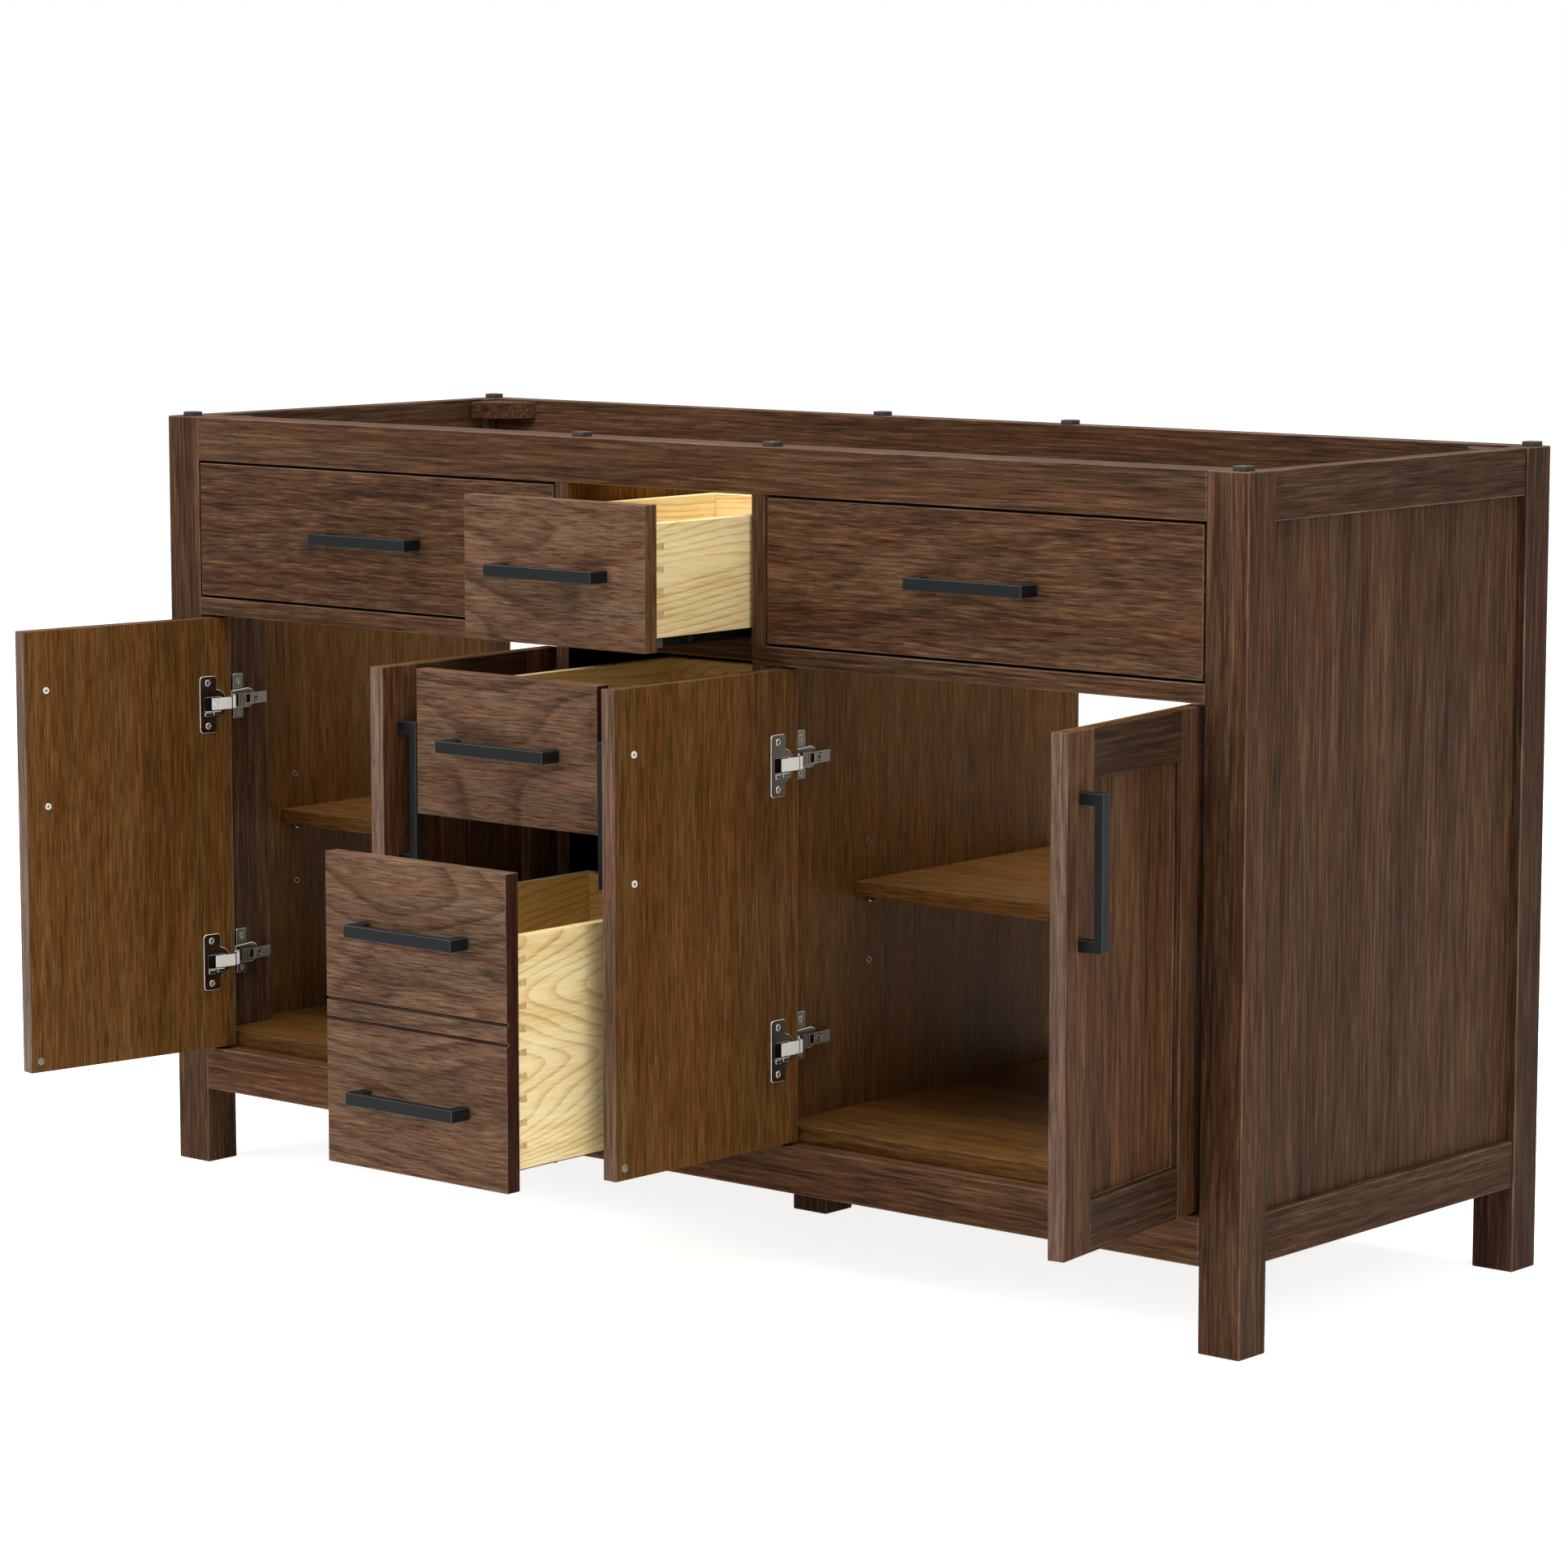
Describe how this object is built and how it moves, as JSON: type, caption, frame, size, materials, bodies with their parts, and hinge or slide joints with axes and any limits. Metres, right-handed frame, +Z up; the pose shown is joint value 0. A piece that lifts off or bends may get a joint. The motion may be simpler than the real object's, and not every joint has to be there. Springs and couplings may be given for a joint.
{
  "type": "bathroom vanity cabinet",
  "caption": "Freestanding bathroom vanity base on legs with double-door bays, a centre column of drawers, false fronts, shelves and an open top and back.",
  "frame": {"origin": "on the floor at the centre of the footprint, under the centre leg", "axes": "+X to the right along the front, +Y to the back, +Z up; the front faces -Y"},
  "size_m": [1.5293, 0.9485, 0.876],
  "materials": {
    "walnut_stain": "dark walnut stain under a low-sheen clear coat, open grain",
    "walnut_inside": "brown stained veneer with a thin satin coat",
    "pine": "clear-coated pale pine with strong growth rings",
    "black_handle": "matte black",
    "nickel": "nickel plate",
    "slide_steel": "black satin",
    "pad_rubber": "dark soft pads on the top edges",
    "clear_plastic": "clear bumper dots",
    "grey_plastic": "grey moulded locking devices"
  },
  "bodies": {
    "carcass": {"leg_front_left": "walnut_stain", "leg_front_right": "walnut_stain", "leg_back_left": "walnut_stain", "leg_back_right": "walnut_stain", "leg_centre": "walnut_stain", "rail_top_front": "walnut_stain", "rail_top_back": "walnut_stain", "rail_top_left": "walnut_stain", "rail_top_right": "walnut_stain", "rail_bottom_front": "walnut_stain", "rail_bottom_back": "walnut_stain", "rail_bottom_left": "walnut_stain", "rail_bottom_right": "walnut_stain", "rail_middle_left": "walnut_stain", "rail_middle_right": "walnut_stain", "rail_drawers_upper": "walnut_stain", "rail_drawers_lower": "walnut_stain", "panel_side_left": "walnut_stain", "panel_side_right": "walnut_stain", "false_front_left": "walnut_stain", "false_front_right": "walnut_stain", "panel_floor": "walnut_inside", "partition_left": "walnut_inside", "partition_right": "walnut_inside", "shelf_left": "walnut_inside", "shelf_right": "walnut_inside", "handle_false_front_left": "black_handle", "handle_false_front_right": "black_handle", "hinge_door_1_upper": "nickel", "hinge_door_1_lower": "nickel", "hinge_door_2_upper": "nickel", "hinge_door_2_lower": "nickel", "hinge_door_3_upper": "nickel", "hinge_door_3_lower": "nickel", "hinge_door_4_upper": "nickel", "hinge_door_4_lower": "nickel", "slide_top_left": "slide_steel", "slide_top_right": "slide_steel", "slide_middle_left": "slide_steel", "slide_middle_right": "slide_steel", "slide_bottom_left": "slide_steel", "slide_bottom_right": "slide_steel"},
    "door_1": {"door_1": "walnut_stain", "handle_door_1": "black_handle"},
    "door_2": {"door_2": "walnut_stain", "handle_door_2": "black_handle"},
    "door_3": {"door_3": "walnut_stain", "handle_door_3": "black_handle"},
    "door_4": {"door_4": "walnut_stain", "handle_door_4": "black_handle"},
    "drawer_top": {"drawer_top_front": "walnut_stain", "drawer_top_box": "pine", "handle_drawer_top": "black_handle"},
    "drawer_middle": {"drawer_middle_front": "walnut_stain", "drawer_middle_box": "pine", "handle_drawer_middle": "black_handle"},
    "drawer_bottom": {"drawer_bottom_front": "walnut_stain", "drawer_bottom_box": "pine", "handle_drawer_bottom_lower": "black_handle", "handle_drawer_bottom_upper": "black_handle"}
  },
  "joints": [
    {"name": "door_1_swing", "type": "hinge", "parent": "carcass", "child": "door_1", "pos_m": [-0.696, -0.268, 0.393], "axis": [0, 0, -1], "range_deg": [-99.3, 10.7]},
    {"name": "door_2_swing", "type": "hinge", "parent": "carcass", "child": "door_2", "pos_m": [-0.165, -0.271, 0.393], "axis": [0, 0, 1], "range_deg": [-91.5, 0]},
    {"name": "door_3_swing", "type": "hinge", "parent": "carcass", "child": "door_3", "pos_m": [0.165, -0.271, 0.393], "axis": [0, 0, -1], "range_deg": [-91.5, 0]},
    {"name": "door_4_swing", "type": "hinge", "parent": "carcass", "child": "door_4", "pos_m": [0.696, -0.268, 0.393], "axis": [0, 0, 1], "range_deg": [-97.8, 12.2]},
    {"name": "drawer_top_slide", "type": "slide", "parent": "carcass", "child": "drawer_top", "axis": [0, -1, 0], "range_m": [-0.164, 0.217]},
    {"name": "drawer_middle_slide", "type": "slide", "parent": "carcass", "child": "drawer_middle", "axis": [0, -1, 0], "range_m": [-0.238, 0.143]},
    {"name": "drawer_bottom_slide", "type": "slide", "parent": "carcass", "child": "drawer_bottom", "axis": [0, -1, 0], "range_m": [-0.374, 0.007]}
  ]
}
